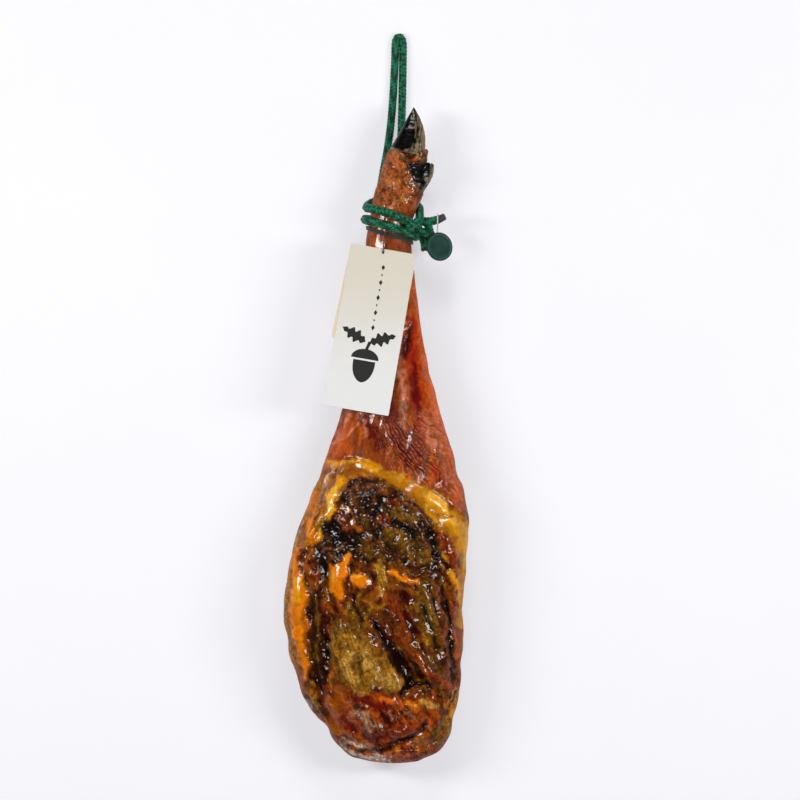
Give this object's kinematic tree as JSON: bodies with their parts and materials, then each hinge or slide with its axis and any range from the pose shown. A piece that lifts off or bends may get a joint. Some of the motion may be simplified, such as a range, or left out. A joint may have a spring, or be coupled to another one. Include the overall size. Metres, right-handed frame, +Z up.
{
  "type": "cured ham",
  "caption": "Long cured pork shoulder on the bone with black hoof, green hanging rope, blank card labels and a round seal, lying with its trimmed face up.",
  "frame": {"origin": "under the middle of the meat's own box, on the surface it lies on", "axes": "+Y along the leg towards the hoof, +Z up out of the trimmed face, +X to the side of the dewclaws"},
  "size_m": [0.1951, 0.7822, 0.0982],
  "materials": {
    "cured_meat": "greasy gloss",
    "horn": "satin, tan where worn",
    "rope": "braided, slight sheen",
    "tape": "melted end",
    "band": "matt",
    "string": "matt",
    "card": "smooth uncoated",
    "seal_plastic": "satin",
    "clear_tie": "clear"
  },
  "bodies": {
    "root": {"ham": "cured_meat", "hoof_claw_near": "horn", "hoof_claw_far": "horn", "dewclaw_near": "horn", "dewclaw_far": "horn", "rope_turns": "rope", "rope_loop": "rope", "rope_end_tape": "tape", "neck_band": "band", "tag_string": "string", "card_front": "card", "card_back": "card", "seal": "seal_plastic", "seal_tie": "clear_tie"}
  },
  "joints": []
}
